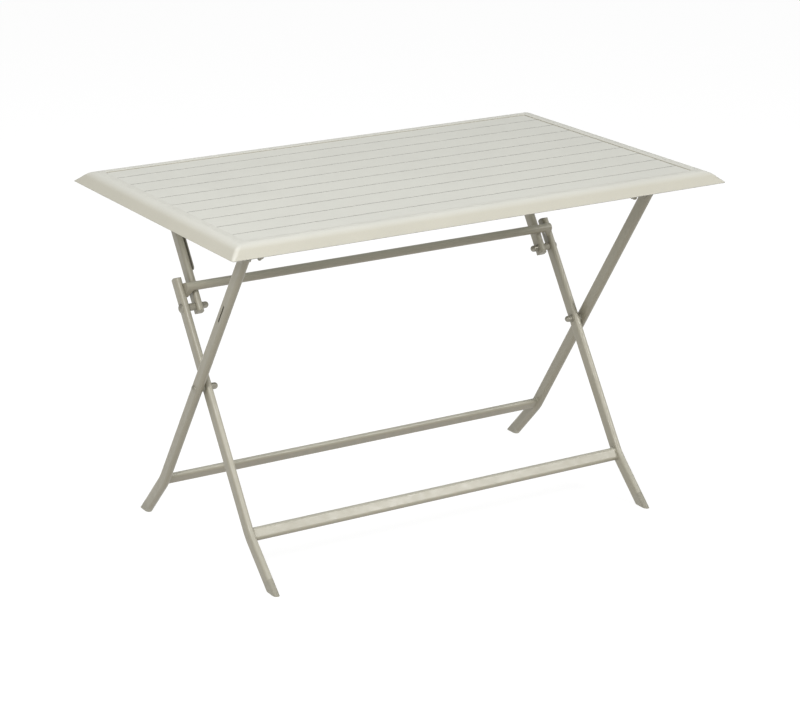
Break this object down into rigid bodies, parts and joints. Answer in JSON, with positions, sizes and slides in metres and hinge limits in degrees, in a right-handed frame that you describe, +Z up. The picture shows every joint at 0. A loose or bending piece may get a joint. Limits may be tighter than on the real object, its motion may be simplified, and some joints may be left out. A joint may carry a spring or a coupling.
{
  "type": "folding picnic table",
  "caption": "Rectangular slatted table top with a sloping mitred rim on two crossed oval-tube leg frames that fold flat under it on short hangers.",
  "frame": {"origin": "middle of the floor rectangle under the table top", "axes": "+X along the table, -Y is the front, +Z up"},
  "size_m": [1.1, 0.704, 0.72],
  "materials": {
    "frame_coat": "satin powder coat, warm off-white",
    "slat_coat": "satin powder coat, off-white",
    "strap_coat": "satin powder coat, dark grey",
    "fastener_steel": "satin zinc, powder-coated over",
    "plastic": "matte moulded"
  },
  "bodies": {
    "outer_frame": {"outer_leg_left": "frame_coat", "outer_leg_right": "frame_coat", "outer_lower_bar": "frame_coat", "outer_end_plugs": "plastic", "outer_foot_left": "plastic", "outer_foot_right": "plastic", "cross_bolt_left": "fastener_steel", "cross_bolt_right": "fastener_steel", "cross_spacers": "plastic", "cross_nuts": "fastener_steel"},
    "top": {"rim_front": "frame_coat", "rim_back": "frame_coat", "rim_left": "frame_coat", "rim_right": "frame_coat", "corner_keys": "plastic", "slat_01": "slat_coat", "slat_02": "slat_coat", "slat_03": "slat_coat", "slat_04": "slat_coat", "slat_05": "slat_coat", "slat_06": "slat_coat", "slat_07": "slat_coat", "slat_08": "slat_coat", "slat_09": "slat_coat", "slat_10": "slat_coat", "rail_left": "frame_coat", "rail_right": "frame_coat", "front_bracket_left": "frame_coat", "front_bracket_right": "frame_coat", "back_bracket_left": "frame_coat", "back_bracket_right": "frame_coat", "bracket_screws": "fastener_steel", "front_bolt_left": "fastener_steel", "front_bolt_right": "fastener_steel", "back_bolt_left": "fastener_steel", "back_bolt_right": "fastener_steel"},
    "inner_frame": {"inner_leg_left": "frame_coat", "inner_leg_right": "frame_coat", "inner_lower_bar": "frame_coat", "upper_bar": "frame_coat", "bar_saddle_left": "frame_coat", "bar_saddle_right": "frame_coat", "inner_end_plugs": "plastic", "inner_foot_left": "plastic", "inner_foot_right": "plastic", "hanger_bolt_left": "fastener_steel", "hanger_bolt_right": "fastener_steel", "hanger_spacers": "frame_coat"},
    "left_hanger": {"hanger_left": "frame_coat", "hanger_plugs_left": "plastic", "hanger_nut_left": "fastener_steel", "latch_strap": "strap_coat", "strap_rivets": "fastener_steel"},
    "right_hanger": {"hanger_right": "frame_coat", "hanger_plugs_right": "plastic", "hanger_nut_right": "fastener_steel"}
  },
  "joints": [
    {"name": "fold", "type": "hinge", "parent": "outer_frame", "child": "top", "pos_m": [0, -0.21443, 0.6585], "axis": [-1, 0, 0], "range_deg": [0, 47.24]},
    {"name": "leg_cross", "type": "hinge", "parent": "outer_frame", "child": "inner_frame", "pos_m": [0, 0.0037, 0.3416], "axis": [1, 0, 0], "range_deg": [0, 63.7]},
    {"name": "left_hanger_hinge", "type": "hinge", "parent": "top", "child": "left_hanger", "pos_m": [-0.4065, 0.20291, 0.64487], "axis": [-1, 0, 0], "range_deg": [0, 54.94]},
    {"name": "right_hanger_hinge", "type": "hinge", "parent": "top", "child": "right_hanger", "pos_m": [0.4065, 0.20291, 0.64487], "axis": [-1, 0, 0], "range_deg": [0, 54.94]}
  ],
  "couplings": [
    {"joint": "leg_cross", "follows": "fold", "ratio": 1.3486},
    {"joint": "left_hanger_hinge", "follows": "fold", "ratio": 1.1631},
    {"joint": "right_hanger_hinge", "follows": "fold", "ratio": 1.1631}
  ]
}
